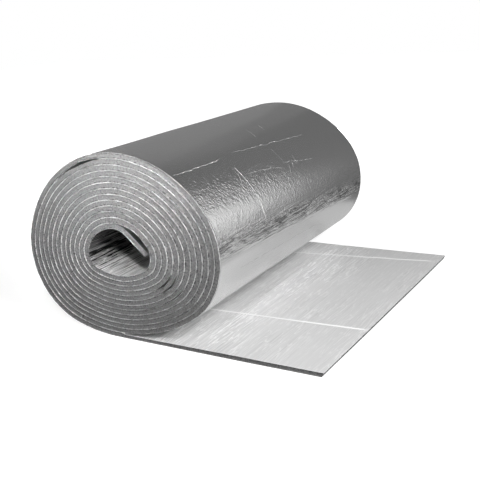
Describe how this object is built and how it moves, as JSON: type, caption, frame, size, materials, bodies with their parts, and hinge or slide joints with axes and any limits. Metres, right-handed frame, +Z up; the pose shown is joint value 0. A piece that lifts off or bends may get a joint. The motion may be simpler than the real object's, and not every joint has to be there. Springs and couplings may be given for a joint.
{
  "type": "insulation roll",
  "caption": "Roll of foil-faced foam insulation sheet, lying on its side and sagged to an oval, with an open bore, a loose inner end and a flat tail laid out on the floor.",
  "frame": {"origin": "on the floor under the middle of the box round the roll and its laid-out tail", "axes": "+X along the tail away from the roll, +Y along the width of the sheet, +Z up"},
  "size_m": [0.6026, 0.6, 0.3341],
  "materials": {
    "foil_faced_foam": "crinkled satin foil with a grey foam edge"
  },
  "bodies": {
    "root": {"insulation_roll": "foil_faced_foam"}
  },
  "joints": []
}
